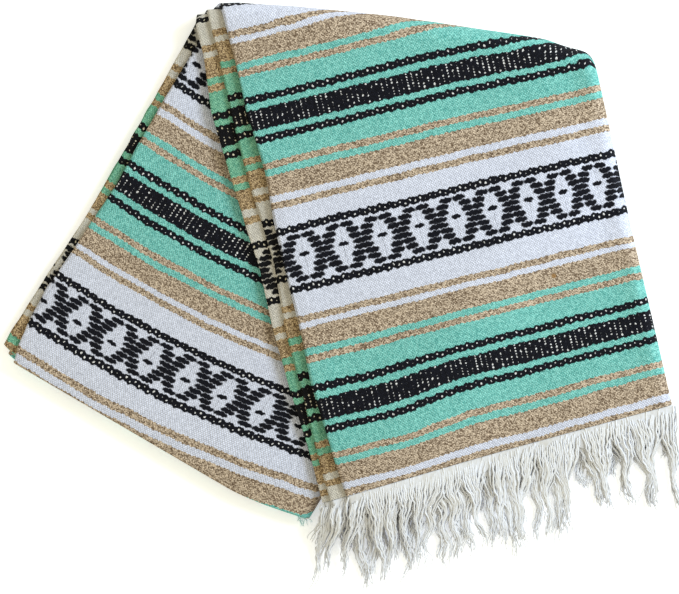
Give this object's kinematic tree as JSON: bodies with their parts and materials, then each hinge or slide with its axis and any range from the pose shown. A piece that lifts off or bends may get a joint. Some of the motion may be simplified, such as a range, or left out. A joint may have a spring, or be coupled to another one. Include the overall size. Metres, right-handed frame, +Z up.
{
  "type": "folded blanket",
  "caption": "Folded Mexican serape blanket with mint, tan, white and black stripes, a diamond band and fringed ends, laid flat and bent back in a V",
  "frame": {"origin": "middle of the outline on the surface the blanket rests on", "axes": "+Z up off the surface, +X to the right along the longer side of the outline, +Y from the fringe toward the ridge"},
  "size_m": [0.6291, 0.5542, 0.0352],
  "materials": {
    "striped_weave": "striped plain weave with a fine rib, soft and matt",
    "ridge_weave": "striped plain weave turned over the ridge, matt",
    "back_weave": "striped plain weave with a fine rib, soft and matt",
    "front_leaf_weave": "striped plain weave, matt",
    "ridge_leaf_weave": "striped plain weave, matt",
    "back_leaf_weave": "striped plain weave, matt",
    "heading_yarn": "packed white weft, slightly fuzzy",
    "lower_heading_yarn": "packed white weft, slightly fuzzy",
    "fringe_yarn": "loose white yarn, crinkled, matt",
    "lower_fringe_yarn": "loose white yarn, crinkled, matt"
  },
  "bodies": {
    "root": {"front_stretch": "striped_weave", "ridge_stretch": "ridge_weave", "back_stretch": "back_weave", "front_inner_leaves": "front_leaf_weave", "ridge_inner_leaves": "ridge_leaf_weave", "back_inner_leaves": "back_leaf_weave", "heading_upper": "heading_yarn", "heading_lower": "lower_heading_yarn", "fringe_upper": "fringe_yarn", "fringe_lower": "lower_fringe_yarn"}
  },
  "joints": []
}
